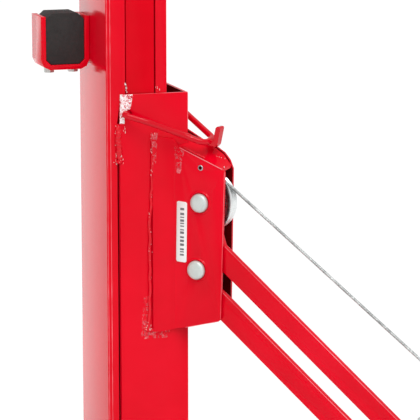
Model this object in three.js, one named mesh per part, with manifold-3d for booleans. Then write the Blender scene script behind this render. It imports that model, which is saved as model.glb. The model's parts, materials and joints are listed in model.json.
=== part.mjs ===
// Rolling winch hoist crane: a box mast turned 45 degrees in plan on a wheeled base with swinging legs,
// a telescoping inner mast and boom lifted by a wire rope, a sheave housing on the mast's rear corner
// and a hand winch on two sloping arms. Millimetres, +Z up, floor at z = 0, winch towards +X.
import * as THREE from 'three';
import { mergeVertices } from 'three/addons/utils/BufferGeometryUtils.js';
import Module from 'manifold-3d';

const wasm = await Module();
wasm.setup();

// ---------------------------------------------------------------- driving dimensions
const SHIFT_X = 66.2; // moves the mast frame so that the bounding box is centred on the origin
const GAP = 0.3; // clearance between touching pieces
const S45 = Math.SQRT1_2;
const CORNER_X = 59.1; // rear corner of the mast from the mast's middle
const COVER_W = 84; // mast width along its near wall, cover included
const POST_W = 63;
const POST_D = 100;
const POST_WALL = 3;
const LIP_LEFT = 20; // front slot of the post runs from LIP_LEFT to LIP_RIGHT
const LIP_RIGHT = 51.5;
const POST_Z = [160.3, 1400];
const COVER_LEFT = 13.2;
const COVER_NOTCH = [1186, 3.2]; // the left edge leans in above this height, by this much at the top
const COVER_T = 3;
const COVER_Z = [170, 1217];
const INNER_U = [6.5, 56.5];
const INNER_V = [6.5, 93.5];
const INNER_Z = [180, 1424];
const RIB_V = 1.2; // front face of the inner mast's guide rib
const RIB_GAP = 1.2;
const PLATE_Y = 13; // outer faces of the sheave housing plates
const PLATE_T = 3;
const UPPER_PIN = [79.3, 1107.7]; // x, z
const LOWER_PIN = [75.7, 1038.8];
const PIN_R = 5.7;
const PIN_HEAD_R = 9.6;
const OIL_HOLE = [80.1, 1143.5]; // small hole above the upper pin, near plate only
const BAIL = { x: 13.8, z: 1198, r: 3.2, hole: 4.0 }; // pivot line, rod and hole radius
const SHEAVE_R = 31.5;
const SHEAVE_W = 11;
const SHEAVE_Y = 3; // rope plane
const ROPE_R = 1.6;
const ROPE_PITCH_R = 29.3; // rope centre line on the sheave
const ROPE_DROP = 36.8; // degrees below the horizontal, sheave to drum
const ROPE_RUN = 360;
const ARM_Y = [-9.5, -3.5];
const DRUM_R = 22;
const DRUM_SIDES = 24;
const DRUM_PITCH_R = DRUM_R + ROPE_R + GAP;
const GEAR_TEETH = 40;
const PINION_TEETH = 10;
const GEAR_MODULE = 2.5;
const CRANK_LEN = 170;
const BEAM_Z = [102, 152];
const LEG_Y = 250;
const LEG_PIVOT = [140, 250]; // x, |y| of the upright hinge bolts
const LEG_Z = [109, 143];
const EAR_T = 6;
const LEG_TIP_X = -720;
const LEG_W = 44;
const WHEEL_R = 40;
const WHEEL_W = 26;
const CASTER_TRAIL = 22;
const BOOM_Z = 1460; // boom centre line
const BOOM_TUBE = 60;
const BOOM_X = [-380, 70];
const EXT_TIP_X = -545;

// ---------------------------------------------------------------- helpers
const rad = (deg) => (deg * Math.PI) / 180;

// Turns a three.js geometry into a manifold solid.
function solid(geometry) {
  let g = geometry.index ? geometry.toNonIndexed() : geometry.clone();
  g.deleteAttribute('normal');
  g.deleteAttribute('uv');
  g = mergeVertices(g, 1e-4);
  return new wasm.Manifold(new wasm.Mesh({
    numProp: 3,
    vertProperties: new Float32Array(g.attributes.position.array),
    triVerts: new Uint32Array(g.index.array),
  }));
}

function toGeometry(manifold) {
  const m = manifold.getMesh();
  const g = new THREE.BufferGeometry();
  g.setAttribute('position', new THREE.BufferAttribute(new Float32Array(m.vertProperties), 3));
  g.setIndex(new THREE.BufferAttribute(new Uint32Array(m.triVerts), 1));
  return g;
}

const union = (...list) => list.reduce((a, b) => a.add(b));
const cut = (body, ...tools) => tools.reduce((a, b) => a.subtract(b), body);

function box(x0, x1, y0, y1, z0, z1) {
  const g = new THREE.BoxGeometry(x1 - x0, y1 - y0, z1 - z0);
  g.translate((x0 + x1) / 2, (y0 + y1) / 2, (z0 + z1) / 2);
  return solid(g);
}

function shapeOf(points) {
  return new THREE.Shape(points.map(([a, b]) => new THREE.Vector2(a, b)));
}

// Plan outline pushed up along Z.
function extrudeZ(points, z0, z1) {
  const g = new THREE.ExtrudeGeometry(shapeOf(points), { depth: z1 - z0, bevelEnabled: false });
  g.translate(0, 0, z0);
  return solid(g);
}

// Side outline given as x, z and pushed along Y from y0 to y1.
function extrudeY(points, y0, y1) {
  const g = new THREE.ExtrudeGeometry(shapeOf(points), { depth: y1 - y0, bevelEnabled: false });
  g.rotateX(Math.PI / 2);
  g.translate(0, y1, 0);
  return solid(g);
}

function cylY(x, z, r, y0, y1, segments = 18) {
  const g = new THREE.CylinderGeometry(r, r, y1 - y0, segments);
  g.translate(x, (y0 + y1) / 2, z);
  return solid(g);
}

function cylZ(x, y, r, z0, z1, segments = 18) {
  const g = new THREE.CylinderGeometry(r, r, z1 - z0, segments);
  g.rotateX(Math.PI / 2);
  g.translate(x, y, (z0 + z1) / 2);
  return solid(g);
}

// Closed profile of [radius, y] turned about an axis along Y through (x, z).
function lathe(profile, x, z, segments = 28) {
  const closed = [...profile, profile[0]].map(([r, y]) => new THREE.Vector2(r, y));
  const g = new THREE.LatheGeometry(closed, segments);
  g.translate(x, 0, z);
  const body = solid(g);
  return body.volume() > 0 ? body : solid(flipFaces(g));
}

function flipFaces(geometry) {
  const g = geometry.clone();
  const index = Array.from(g.index.array);
  for (let i = 0; i < index.length; i += 3) {
    [index[i + 1], index[i + 2]] = [index[i + 2], index[i + 1]];
  }
  g.setIndex(index);
  return g;
}

// Round bar along a list of [x, y, z] points, its inner corners rounded.
function rod(points, r, sides = 8) {
  const p = points.map((q) => new THREE.Vector3(...q));
  const bend = r * 2.6;
  const path = [p[0]];
  for (let i = 1; i < p.length - 1; i += 1) {
    const a = p[i].clone().addScaledVector(p[i].clone().sub(p[i - 1]).normalize(), -bend);
    const b = p[i].clone().addScaledVector(p[i + 1].clone().sub(p[i]).normalize(), bend);
    const middle = p[i].clone().multiplyScalar(2).add(a).add(b).multiplyScalar(0.25);
    path.push(a, middle, b);
  }
  path.push(p[p.length - 1]);
  return pathRod(path, r, sides, new THREE.Vector3(0, 0, 1));
}

// Round bar through points, one ring at each; up is any direction the bar never runs along.
function pathRod(points, r = ROPE_R, sides = 8, up = new THREE.Vector3(0, 1, 0)) {
  const rings = points.map((p, i) => {
    const a = points[Math.max(i - 1, 0)];
    const b = points[Math.min(i + 1, points.length - 1)];
    const t = b.clone().sub(a).normalize();
    const side = up.clone().cross(t).normalize();
    const top = t.clone().cross(side);
    return Array.from({ length: sides }, (_, k) => {
      const w = (k / sides) * Math.PI * 2;
      const q = p.clone().addScaledVector(side, r * Math.cos(w)).addScaledVector(top, r * Math.sin(w));
      return [q.x, q.y, q.z];
    });
  });
  return solid(loft(rings));
}

// Mast plan coordinates (u along the near wall from its left corner, v into the depth) to x, y.
const mast = (u, v) => {
  const depth = v + COVER_T + GAP;
  return [CORNER_X + (u - COVER_W - depth) * S45, (u - COVER_W + depth) * S45];
};

const LUG = mast(POST_W + 9, 12); // where the lifting rope meets the inner mast

function mastBox(u0, u1, v0, v1, z0, z1) {
  return extrudeZ([mast(u0, v0), mast(u1, v0), mast(u1, v1), mast(u0, v1)], z0, z1);
}

const slope = (degrees) => [Math.cos(rad(degrees)), -Math.sin(rad(degrees))];

// ---------------------------------------------------------------- scene list
const root = new THREE.Group();
const FINISH = {
  red: [0xd3121f, 0.35, 0.1],
  zinc: [0xc9cfcb, 0.35, 0.9],
  steel: [0xb8bcc0, 0.3, 1.0],
  black: [0x1a1a1c, 0.7, 0.0],
  white: [0xf2f2f0, 0.5, 0.0],
  rope: [0xb4b8ba, 0.45, 0.9],
};

function add(name, body, finish) {
  const [color, roughness, metalness] = FINISH[finish];
  const mesh = new THREE.Mesh(
    toGeometry(body.translate([SHIFT_X, 0, 0])),
    new THREE.MeshStandardMaterial({ color, roughness, metalness }),
  );
  mesh.name = name;
  root.add(mesh);
}

// ---------------------------------------------------------------- mast
function post() {
  const w = POST_WALL;
  const outer = mastBox(0, POST_W, 0, POST_D, ...POST_Z);
  const bore = mastBox(w, POST_W - w, w, POST_D - w, POST_Z[0] - 1, POST_Z[1] + 1);
  const slot = mastBox(LIP_LEFT, LIP_RIGHT, -1, w + 1, POST_Z[0] + 60, POST_Z[1] + 1);
  const lugSlot = mastBox(POST_W - w - 1, POST_W + 1, 4.5, 19.5, 220, 960);
  const bailHole = cylY(BAIL.x, BAIL.z, BAIL.hole, -60, 60, 16);
  return cut(outer, bore, slot, lugSlot, bailHole);
}

function cover() {
  const t = COVER_T;
  const g = GAP;
  const plan = [
    [COVER_LEFT, -g - t], [COVER_W, -g - t], [COVER_W, POST_D], [POST_W + g, POST_D],
    [POST_W + g, POST_D - t], [COVER_W - t, POST_D - t], [COVER_W - t, -g], [COVER_LEFT, -g],
  ].map(([u, v]) => mast(u, v));
  const window = box(36, 80, -PLATE_Y + PLATE_T + 1, PLATE_Y - PLATE_T - 1, 978, 1150);
  const bailHole = cylY(BAIL.x, BAIL.z, BAIL.hole, -60, 60, 16);
  const [low, lean] = COVER_NOTCH;
  const notchRing = (width, z) => [
    [-0.1, -g - t - 1], [width, -g - t - 1], [width, 0], [-0.1, 0],
  ].map(([u, v]) => [...mast(COVER_LEFT + u, v), z]);
  const notch = solid(loft([notchRing(0.02, low), notchRing(lean, COVER_Z[1] + 0.5)]));
  return cut(extrudeZ(plan, ...COVER_Z), window, bailHole, notch);
}

// Box tube with the rope lug behind it and a guide rib that runs in the post's front slot.
function innerMast() {
  const lugNeck = mastBox(INNER_U[1] - 1, POST_W + 15, 6, 18, 240, 262);
  const [lx, ly] = LUG;
  const rib = mastBox(LIP_LEFT + RIB_GAP, LIP_RIGHT - RIB_GAP, RIB_V, INNER_V[0] + 1, 222, INNER_Z[1]);
  const ropeFork = union(cylZ(lx, ly, 3.4, 230, 270, 16), box(lx, lx + 18, ly - 2.8, ly + 3.6, 230, 270));
  return cut(
    union(mastBox(...INNER_U, INNER_V[0], INNER_V[1], ...INNER_Z), lugNeck, rib),
    ropeFork,
    mastBox(INNER_U[0] + 4, INNER_U[1] - 4, INNER_V[0] + 4, INNER_V[1] - 4, 170, 1400),
  );
}

// Nylon guide ring between the inner mast and the top of the post.
function slideBush() {
  const z = [1352, 1398];
  const o = POST_WALL + GAP;
  return cut(
    mastBox(o, POST_W - o, o, POST_D - o, ...z),
    mastBox(INNER_U[0] - GAP, INNER_U[1] + GAP, INNER_V[0] - GAP, INNER_V[1] + GAP, 1340, 1410),
    mastBox(LIP_LEFT, LIP_RIGHT, 0, INNER_V[0], 1340, 1410),
  );
}

// ---------------------------------------------------------------- sheave housing
const NEAR_EDGE = [
  [26, 1175], [49, 1171], [54.7, 1162.8], [104.5, 1143.6], [107, 1141.4],
  [102.6, 990.6], [100.5, 988], [63, 977.6], [41.8, 973], [16, 974],
];
const FAR_EDGE = [
  [26, 1182], [51.7, 1178], [73.5, 1166.5], [86, 1162], [95, 1156.5], [101, 1149.5], [104.6, 1141],
  [102.4, 990.6], [100.2, 988], [63, 977.6], [41.8, 973], [16, 974],
];

// Flange on the mast wall, 45 degree bend and outward plate, trimmed to the side outline.
function housingPlate(edge, side) {
  const skin = COVER_T + 2 * GAP;
  const inner = side < 0
    ? (u) => mast(u, -skin)
    : (v) => mast(COVER_W + GAP, v - COVER_T);
  const outer = side < 0
    ? (u) => mast(u, -skin - PLATE_T)
    : (v) => mast(COVER_W + GAP + PLATE_T, v - COVER_T);
  const onWall = (point, y) => {
    const [x0, y0] = point;
    return [x0 + Math.abs(y - y0), y];
  };
  const start = side < 0 ? 46 : 38;
  const a = inner(start);
  const b = outer(start);
  const yIn = side * (PLATE_Y - PLATE_T);
  const yOut = side * PLATE_Y;
  const plan = [a, onWall(a, yIn), [120, yIn], [120, yOut], onWall(b, yOut), b];
  const sheet = extrudeZ(side < 0 ? plan.reverse() : plan, 960, 1190);
  const trim = extrudeY(edge, -70, 70);
  const pins = [UPPER_PIN, LOWER_PIN].map(([x, z]) => cylY(x, z, PIN_R + GAP, -70, 70, 16));
  const oilHole = side < 0 ? [cylY(...OIL_HOLE, 1.5, -70, 0, 12)] : [];
  return cut(sheet.intersect(trim), ...pins, ...oilHole);
}

// Cap plate between the two side plates: a swept strip whose far edge sits a little higher.
function housingTop() {
  const stations = [
    [63, 1158.6, 1170.2], [73.5, 1154.8, 1165.2], [86, 1150, 1160.6], [95, 1146.6, 1155],
    [103, 1143.4, 1145],
  ];
  const y = PLATE_Y - PLATE_T - GAP;
  const t = PLATE_T;
  const rings = stations.map(([x, zn, zf]) => [
    [x, -y, zn], [x, y, zf], [x, y, zf - t], [x, -y, zn - t],
  ]);
  return solid(loft(rings));
}

// Closed skin through rings of equally many points, ring order along the sweep.
function loft(rings) {
  const n = rings[0].length;
  const position = rings.flat(2);
  const index = [];
  for (let i = 0; i < rings.length - 1; i += 1) {
    for (let j = 0; j < n; j += 1) {
      const a = i * n + j;
      const b = i * n + ((j + 1) % n);
      index.push(a, b, b + n, a, b + n, a + n);
    }
  }
  for (let j = 1; j < n - 1; j += 1) {
    index.push(0, j + 1, j);
    const e = (rings.length - 1) * n;
    index.push(e, e + j, e + j + 1);
  }
  const g = new THREE.BufferGeometry();
  g.setAttribute('position', new THREE.BufferAttribute(new Float32Array(position), 3));
  g.setIndex(index);
  g.setAttribute('normal', new THREE.BufferAttribute(new Float32Array(position.length), 3));
  g.setAttribute('uv', new THREE.BufferAttribute(new Float32Array((position.length / 3) * 2), 2));
  const body = solid(g);
  return body.volume() > 0 ? g : flipFaces(g);
}

function sheave() {
  const h = SHEAVE_W / 2;
  const y = SHEAVE_Y;
  const [x, z] = UPPER_PIN;
  const groove = ROPE_PITCH_R - ROPE_R - GAP;
  return lathe([
    [9, y - h - 0.3], [14, y - h - 0.3], [15, y - h + 2], [23, y - h + 2], [25, y - h],
    [SHEAVE_R, y - h], [SHEAVE_R, y - h + 1.4], [groove, y - 1.7],
    [groove, y + 1.7], [SHEAVE_R, y + h - 1.4], [SHEAVE_R, y + h], [9, y + h],
  ], x, z, 30);
}

function sheaveBush() {
  const h = SHEAVE_W / 2;
  return lathe([
    [PIN_R + GAP, SHEAVE_Y - h - 0.3], [9 - GAP, SHEAVE_Y - h - 0.3],
    [9 - GAP, SHEAVE_Y + h + 0.6], [PIN_R + GAP, SHEAVE_Y + h + 0.6],
  ], ...UPPER_PIN, 28);
}

function pin([x, z]) {
  const head = [-PLATE_Y - GAP - 4.2, -PLATE_Y - GAP];
  const dome = lathe([
    [0, head[0] - 0.9], [4, head[0] - 0.7], [7.8, head[0]], [PIN_HEAD_R, head[0] + 1.4],
    [PIN_HEAD_R, head[1]], [0, head[1]],
  ], x, z, 32);
  const shank = cylY(x, z, PIN_R, head[1] - 0.5, PLATE_Y + 7, 16);
  const groove = cut(cylY(x, z, 8, PLATE_Y + 1.6, PLATE_Y + 3.4, 16),
    cylY(x, z, PIN_R - 1, PLATE_Y + 1, PLATE_Y + 4, 16));
  return cut(union(dome, shank), groove);
}

function pinClip([x, z]) {
  const ring = cut(cylY(x, z, 10, PLATE_Y + 1.9, PLATE_Y + 3.1, 16),
    cylY(x, z, PIN_R - 0.7, PLATE_Y + 1, PLATE_Y + 4, 16));
  return cut(ring, box(x - 3, x + 3, PLATE_Y + 1, PLATE_Y + 4, z - 14, z));
}

function label() {
  return extrudeY([
    [53.6, 1106.5], [55, 1107.8], [63.8, 1107.3], [65.2, 1106], [64.4, 1046.5], [62.9, 1045.2],
    [54, 1045.6], [52.6, 1047],
  ], -PLATE_Y - 0.65, -PLATE_Y - GAP);
}

function bail() {
  const { x, z, r } = BAIL;
  const bar = rod([
    [x, -42.6, z], [x, -53.2, z], [x + 22, -46.2, z - 6], [66, -17, 1175], [84, -12, 1168.5],
    [85, 7, 1170.3], [x, 53.2, z], [x, 40.2, z],
  ], r);
  const tab = extrudeY([
    [84, 1165], [92, 1163.8], [94.4, 1166.4], [97.9, 1183], [96.8, 1184.8], [93.9, 1184.8], [92.4, 1183],
    [89.6, 1170.6], [84, 1171.4],
  ], -5, 5);
  return union(bar, tab);
}

// ---------------------------------------------------------------- winch arms
const ALONG = slope(39.4);
const UPPER_LINE = [103.5, 1052.7];
const LOWER_LINE = [101.1, 1003.9];
const ARM_END_X = 440;

function armPolygon([x0, z0], back, depth) {
  const [dx, dz] = ALONG;
  const [nx, nz] = [-dz, dx];
  const h = depth / 2;
  const far = (ARM_END_X - x0) / dx;
  const at = (s, t) => [x0 + dx * s + nx * t, z0 + dz * s + nz * t];
  return [at(back, -h), at(far - 4, -h), at(far, -h + 4), at(far, h - 4), at(far - 4, h), at(back, h)];
}

function upperArm() {
  const [px, pz] = UPPER_PIN;
  const eye = cylY(px, pz, 13, ...ARM_Y);
  const neck = extrudeY([[66.5, 1106], [92, 1108], [106, 1062], [94, 1047], [84, 1062]], ...ARM_Y);
  const bar = extrudeY(armPolygon(UPPER_LINE, -12, 21.5), ...ARM_Y);
  return cut(union(eye, neck, bar), cylY(px, pz, PIN_R + GAP, -20, 20, 16), ...cheekHoles());
}

function lowerArm() {
  const [px, pz] = LOWER_PIN;
  const eye = cylY(px, pz, 13, ...ARM_Y);
  const neck = extrudeY([[64, 1034], [88, 1042], [104, 1010], [92, 996], [70, 1018]], ...ARM_Y);
  const bar = extrudeY(armPolygon(LOWER_LINE, -12, 23.5), ...ARM_Y);
  return cut(union(eye, neck, bar), cylY(px, pz, PIN_R + GAP, -20, 20, 16), ...cheekHoles());
}

// ---------------------------------------------------------------- winch
const ROPE_DIR = slope(ROPE_DROP);
const ROPE_OUT = [-ROPE_DIR[1], ROPE_DIR[0]];
const TANGENT = [UPPER_PIN[0] + ROPE_OUT[0] * ROPE_PITCH_R, UPPER_PIN[1] + ROPE_OUT[1] * ROPE_PITCH_R];
const DRUM = [
  TANGENT[0] + ROPE_DIR[0] * ROPE_RUN - ROPE_OUT[0] * DRUM_PITCH_R,
  TANGENT[1] + ROPE_DIR[1] * ROPE_RUN - ROPE_OUT[1] * DRUM_PITCH_R,
];
const CHEEK_NEAR = [-3.2, -0.2];
const CHEEK_FAR = [44, 47];
const GEAR_Y = [53.5, 59.5];
const CENTRES = ((GEAR_TEETH + PINION_TEETH) * GEAR_MODULE) / 2;
const PINION = [DRUM[0] + CENTRES * Math.cos(rad(35)), DRUM[1] + CENTRES * Math.sin(rad(35))];
const TIES = [[DRUM[0] - 50, DRUM[1] + 14], [DRUM[0] + 14, DRUM[1] - 47]];

function armPoint([x0, z0], x) {
  return [x, z0 + (ALONG[1] / ALONG[0]) * (x - x0)];
}

const BOLTS = [
  armPoint(UPPER_LINE, 335), armPoint(UPPER_LINE, 415),
  armPoint(LOWER_LINE, 345), armPoint(LOWER_LINE, 425),
];

function cheekHoles() {
  return BOLTS.map(([x, z]) => cylY(x, z, 4.3, -20, 20, 16));
}

const bearings = () => [
  cylY(...DRUM, 8.4, -20, 60, 16),
  cylY(...PINION, 6.4, -20, 60, 16),
  ...TIES.map(([x, z]) => cylY(x, z, 4.3, -20, 60, 16)),
];

function cheekNear() {
  const [dx, dz] = DRUM;
  const [bx, bz] = BOLTS[2];
  const plate = cut(extrudeY([
    [dx - 62, dz + 8], [dx - 30, dz + 36], [PINION[0], PINION[1] + 20], [PINION[0] + 20, PINION[1]],
    [dx + 86, dz - 40], [440, 735], [430, 716], [412, 722], [bx - 16, bz - 8], [bx - 24, bz + 8],
  ], ...CHEEK_NEAR), ...bearings());
  return union(plate, ...armStuds());
}

function cheekFar() {
  const [dx, dz] = DRUM;
  return cut(extrudeY([
    [dx - 62, dz + 8], [dx - 30, dz + 36], [PINION[0], PINION[1] + 20], [PINION[0] + 20, PINION[1]],
    [dx + 76, dz - 20], [dx + 22, dz - 64], [dx - 4, dz - 64],
  ], ...CHEEK_FAR), ...bearings(), cylY(...PAWL_PIVOT, 3.5, 40, 60, 16));
}

function tieBolt([x, z]) {
  return union(
    cylY(x, z, 4, CHEEK_NEAR[0] - 4, CHEEK_FAR[1] + 5, 16),
    cylY(x, z, 6.5, CHEEK_NEAR[1] + GAP, CHEEK_FAR[0] - GAP, 16),
    cylY(x, z, 6.5, CHEEK_NEAR[0] - 4.5, CHEEK_NEAR[0] - GAP, 6),
    cylY(x, z, 6.5, CHEEK_FAR[1] + GAP, CHEEK_FAR[1] + 5, 6),
  );
}

// Studs of the near cheek that pass through the arms, each with its nut.
function armStuds() {
  return BOLTS.map(([x, z]) => union(
    cylY(x, z, 4, ARM_Y[0] - 4, CHEEK_NEAR[1], 16),
    cylY(x, z, 6.5, ARM_Y[0] - 4.5, ARM_Y[0] - GAP, 6),
  ));
}

function drum() {
  const c = CHEEK_NEAR[1] + 0.5;
  return lathe([
    [6.4, c], [40, c], [40, c + 0.8], [DRUM_R, c + 0.8], [DRUM_R, 41], [40, 41], [40, 42.5], [6.4, 42.5],
  ], ...DRUM, DRUM_SIDES);
}

function toothed(teeth, [x, z], y0, y1, bore, phase) {
  const pitch = (teeth * GEAR_MODULE) / 2;
  const points = [];
  const step = (Math.PI * 2) / teeth;
  const profile = [[-0.29, -1.25], [-0.13, 1], [0.13, 1], [0.29, -1.25]];
  for (let i = 0; i < teeth; i += 1) {
    for (const [a, r] of profile) {
      const angle = phase + (i + a * 0.82) * step;
      const radius = pitch + r * GEAR_MODULE * 0.9;
      points.push([x + radius * Math.cos(angle), z + radius * Math.sin(angle)]);
    }
  }
  return cut(extrudeY(points, y0, y1), cylY(x, z, bore, y0 - 1, y1 + 1, 16));
}

function drumGear() {
  const holes = [0, 1, 2, 3].map((i) => {
    const a = (i * Math.PI) / 2;
    return cylY(DRUM[0] + 30 * Math.cos(a), DRUM[1] + 30 * Math.sin(a), 7.5, 40, 60, 16);
  });
  return cut(toothed(GEAR_TEETH, DRUM, ...GEAR_Y, 6.4, rad(35)), ...holes);
}

function drumShaft() {
  return union(
    cylY(...DRUM, 6.1, CHEEK_NEAR[0] - 5, GEAR_Y[1] + 6, 12),
    cylY(...DRUM, 8, CHEEK_NEAR[0] - 0.1, CHEEK_NEAR[1] + 0.1, 12),
    cylY(...DRUM, 8, CHEEK_FAR[0] - 0.1, CHEEK_FAR[1] + 0.1, 12),
    cylY(...DRUM, 10, CHEEK_NEAR[0] - 7, CHEEK_NEAR[0] - 1, 6),
    cylY(...DRUM, 10, GEAR_Y[1] + 0.6, GEAR_Y[1] + 6, 6),
  );
}

function pinion() {
  const half = Math.PI / PINION_TEETH;
  const gear = toothed(PINION_TEETH, PINION, GEAR_Y[0] - 0.5, GEAR_Y[1] + 0.5, 5, rad(35) + Math.PI + half);
  return union(
    gear,
    cylY(...PINION, 6, CHEEK_NEAR[0] - 4, CRANK_Y[1] + 6, 12),
    cylY(...PINION, 9, CHEEK_NEAR[0] - 6, CHEEK_NEAR[0] - 0.8, 12),
  );
}

const CRANK_DIR = slope(28);
const CRANK_Y = [66.5, 72.5];

function crank() {
  const [dx, dz] = CRANK_DIR;
  const [x, z] = PINION;
  const end = [x + dx * CRANK_LEN, z + dz * CRANK_LEN];
  const bar = extrudeY([
    [x - dx * 2 + dz * 10, z - dz * 2 - dx * 10], [x - dx * 2 - dz * 10, z - dz * 2 + dx * 10],
    [end[0] - dz * 9, end[1] + dx * 9], [end[0] + dz * 9, end[1] - dx * 9],
  ].reverse(), ...CRANK_Y);
  const body = union(bar, cylY(x, z, 14, ...CRANK_Y), cylY(...end, 11, ...CRANK_Y));
  const stud = union(cylY(...end, 5, CRANK_Y[1] - 1, CRANK_Y[1] + 108, 16),
    cylY(...end, 8, CRANK_Y[1] + 106, CRANK_Y[1] + 111, 16));
  return union(cut(body, cylY(x, z, 6.4, 50, 90, 16)), stud);
}

function crankNut() {
  return cut(
    cylY(...PINION, 10, CRANK_Y[1] + GAP, CRANK_Y[1] + 5, 6),
    cylY(...PINION, 6.3, CRANK_Y[0], CRANK_Y[1] + 10, 12),
  );
}

function grip() {
  const [dx, dz] = CRANK_DIR;
  const end = [PINION[0] + dx * CRANK_LEN, PINION[1] + dz * CRANK_LEN];
  const y = CRANK_Y[1] + 2;
  return lathe([
    [5.4, y], [12, y], [14.5, y + 6], [13, y + 20], [15.5, y + 48], [15.5, y + 72], [13, y + 92],
    [14, y + 100], [11, y + 103], [5.4, y + 103],
  ], ...end, 16);
}

const PAWL_PIVOT = [DRUM[0] - 22, DRUM[1] + 60];

function pawl() {
  const [x, z] = PAWL_PIVOT;
  const beak = extrudeY([[x - 9, z - 5], [x + 6, z - 7.5], [x + 22, z - 6.5], [x + 26, z - 3], [x + 8, z + 8],
    [x - 30, z + 14], [x - 32, z + 8]], GEAR_Y[0], GEAR_Y[1] - 0.5);
  return cut(union(beak, cylY(x, z, 9, GEAR_Y[0], GEAR_Y[1] - 0.5)), cylY(x, z, 3.6, 40, 70, 16));
}

function pawlPin() {
  return union(cylY(...PAWL_PIVOT, 3.2, 42, 63, 16), cylY(...PAWL_PIVOT, 6, GEAR_Y[1] + 0.3, 63, 16));
}

// ---------------------------------------------------------------- wire rope
function ropeWrap() {
  const [x, z] = UPPER_PIN;
  const points = [];
  const leave = Math.atan2(ROPE_OUT[1], ROPE_OUT[0]);
  const enter = Math.PI;
  const steps = 14;
  for (let i = 0; i <= steps; i += 1) {
    const a = leave + ((enter - leave) * i) / steps;
    points.push(new THREE.Vector3(x + ROPE_PITCH_R * Math.cos(a), SHEAVE_Y, z + ROPE_PITCH_R * Math.sin(a)));
  }
  points.push(new THREE.Vector3(x - ROPE_PITCH_R - 1.2, SHEAVE_Y, z - 60));
  points.push(new THREE.Vector3(LUG[0], LUG[1], 272));
  points.push(new THREE.Vector3(LUG[0], LUG[1], 236));
  return pathRod(points);
}

function ropeRun() {
  const start = 0.4;
  const a = new THREE.Vector3(TANGENT[0] + ROPE_DIR[0] * start, SHEAVE_Y, TANGENT[1] + ROPE_DIR[1] * start);
  const b = new THREE.Vector3(
    TANGENT[0] + ROPE_DIR[0] * (ROPE_RUN - 1), SHEAVE_Y, TANGENT[1] + ROPE_DIR[1] * (ROPE_RUN - 1),
  );
  return pathRod([a, b]);
}

function ropeCoil() {
  const [y0, y1] = [5, 39];
  const outer = DRUM_R + GAP + 2 * ROPE_R;
  return lathe([
    [DRUM_R + GAP, y0], [outer - 1, y0], [outer, y0 + 1],
    [outer, y1 - 1], [outer - 1, y1], [DRUM_R + GAP, y1],
  ], ...DRUM, DRUM_SIDES);
}

function ropeFerrule() {
  return cut(cylZ(LUG[0], LUG[1], 4.2, 224, 239, 16), cylZ(LUG[0], LUG[1], ROPE_R + GAP, 226, 245, 12));
}

// ---------------------------------------------------------------- rest bracket on the left face
const REST = { out: [-50.5, -GAP], across: [60, 98], z: [1236, 1290], wall: 5, round: 9 };

// Local u, v, z body to its place on the turned mast.
function toMast(body) {
  const [x, y] = mast(0, 0);
  return body.rotate([0, 0, 45]).translate([x, y, 0]);
}

function restProfile() {
  const [a, b] = REST.out;
  const [z0, z1] = REST.z;
  const { wall, round } = REST;
  return [
    [a, z1], [a, z0 + round], [a + 3, z0 + 3], [a + round, z0], [b - round, z0], [b - 3, z0 + 3],
    [b, z0 + round], [b, z1], [b - wall, z1], [b - wall, z0 + wall + 5], [b - wall - 5, z0 + wall],
    [a + wall + 5, z0 + wall], [a + wall, z0 + wall + 5], [a + wall, z1],
  ];
}

const restBoltsAt = [-38, -13];

function restLocal(kind) {
  const [a, b] = REST.out;
  const [z0, z1] = REST.z;
  const middle = (REST.across[0] + REST.across[1]) / 2;
  const screws = restBoltsAt.map((u) => union(
    cylZ(u, middle, 3, z0 - 4, z0 + 14, 16),
    cylZ(u, middle, 5.4, z0 - 4.5, z0 + 0.5, 6),
  ));
  if (kind === 'bracket') return union(extrudeY(restProfile(), ...REST.across), ...screws);
  const pad = extrudeY([
    [a + 5.4, z0 + 10.4], [a + 10.4, z0 + 5.4], [b - 10.4, z0 + 5.4], [b - 5.4, z0 + 10.4],
    [b - 5.4, z1 - 3], [b - 12, z1 + 3], [a + 12, z1 + 3], [a + 5.4, z1 - 3],
  ], REST.across[0] + 1, REST.across[1] - 1);
  return cut(pad, ...restBoltsAt.map((u) => cylZ(u, middle, 3.4, z0, z0 + 16, 16)));
}

// ---------------------------------------------------------------- boom and hook
function boomSaddle() {
  const z = INNER_Z[1] + GAP;
  const seat = BOOM_Z - BOOM_TUBE / 2 - GAP;
  const half = BOOM_TUBE / 2;
  return union(
    box(-46, 46, -44, 44, z, seat),
    box(-40, 40, half + GAP, half + 4.5, z, BOOM_Z + half - 4),
    box(-40, 40, -half - 4.5, -half - GAP, z, BOOM_Z + half - 4),
  );
}

function boom() {
  const h = BOOM_TUBE / 2;
  const [x0, x1] = BOOM_X;
  const bore = h - 4;
  return cut(
    box(x0, x1, -h, h, BOOM_Z - h, BOOM_Z + h),
    box(x0 - 1, x1 - 4, -bore, bore, BOOM_Z - bore, BOOM_Z + bore),
    cylZ(x0 + 28, 0, 5, BOOM_Z, BOOM_Z + h + 1, 12),
  );
}

const EXT_HALF = 25;
const SHACKLE_X = EXT_TIP_X + 22;

function boomExtension() {
  return cut(
    box(EXT_TIP_X, -190, -EXT_HALF, EXT_HALF, BOOM_Z - EXT_HALF, BOOM_Z + EXT_HALF),
    cylY(SHACKLE_X, BOOM_Z, 6.4, -30, 30, 16),
  );
}

function extensionClamp() {
  const x = BOOM_X[0] + 28;
  const top = BOOM_Z + BOOM_TUBE / 2;
  return union(
    cylZ(x, 0, 4.6, BOOM_Z + EXT_HALF + GAP, top + 22, 12),
    cylZ(x, 0, 8.5, top + GAP, top + 7, 6),
    box(x - 20, x + 20, -3, 3, top + 15, top + 27),
  );
}

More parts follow.
